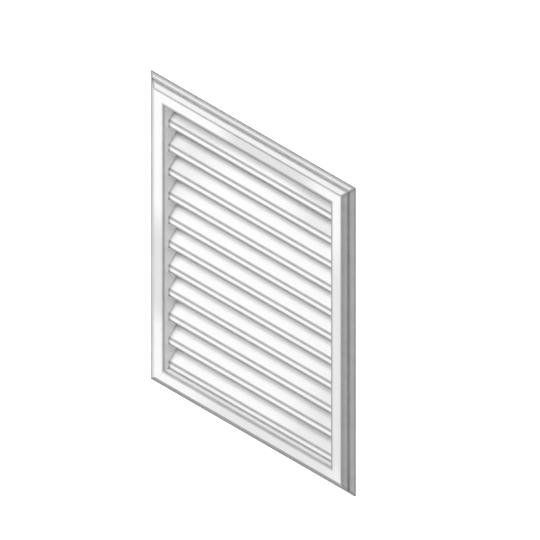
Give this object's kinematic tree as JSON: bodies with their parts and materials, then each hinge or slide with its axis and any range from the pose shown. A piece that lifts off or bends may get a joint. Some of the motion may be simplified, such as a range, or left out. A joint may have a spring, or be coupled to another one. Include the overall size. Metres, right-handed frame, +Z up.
{
  "type": "gable vent",
  "caption": "Rectangular louvered gable vent with stepped trim, fixed sloping blades with drip lips, a wall sleeve and an insect screen.",
  "frame": {"origin": "middle of the plane where the back of the trim rim seats on the wall", "axes": "the louvers face -Y, the wall is on the +Y side, +Z is up, +X is to the right seen from the front"},
  "size_m": [0.4964, 0.0561, 0.6488],
  "materials": {
    "white_plastic": "satin",
    "screen_wire": "satin"
  },
  "bodies": {
    "root": {"vent_body": "white_plastic", "insect_screen": "screen_wire"}
  },
  "joints": []
}
